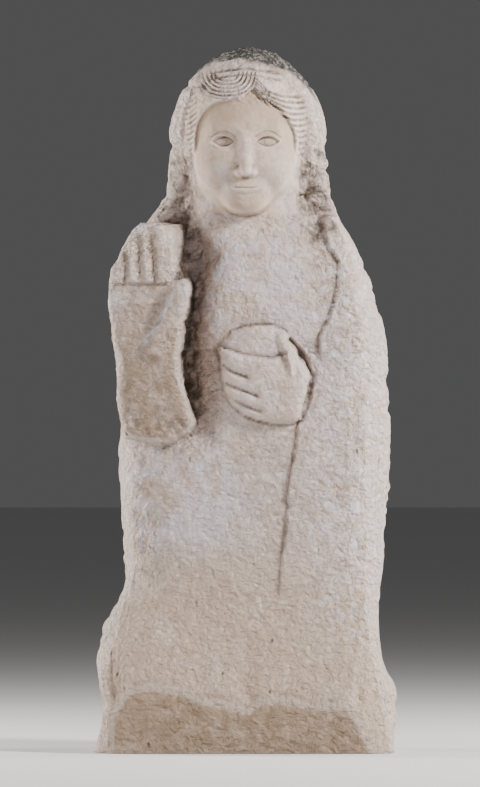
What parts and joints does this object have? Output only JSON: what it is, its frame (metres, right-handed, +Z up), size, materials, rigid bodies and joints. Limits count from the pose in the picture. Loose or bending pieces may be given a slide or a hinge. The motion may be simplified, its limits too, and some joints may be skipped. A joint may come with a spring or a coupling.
{
  "type": "funerary statue",
  "caption": "Standing funerary statue of a veiled figure with one hand raised, carved from a single limestone block with a rough foot.",
  "frame": {"origin": "middle of the underside, on the plane through the shoulders' centre line", "axes": "+Z up, -Y towards the viewer who faces the statue, +X to that viewer's right"},
  "size_m": [0.4316, 0.2869, 0.9995],
  "materials": {
    "limestone": "weathered limestone, matte, with brown patina and dark lichen on top"
  },
  "bodies": {
    "root": {"statue": "limestone"}
  },
  "joints": []
}
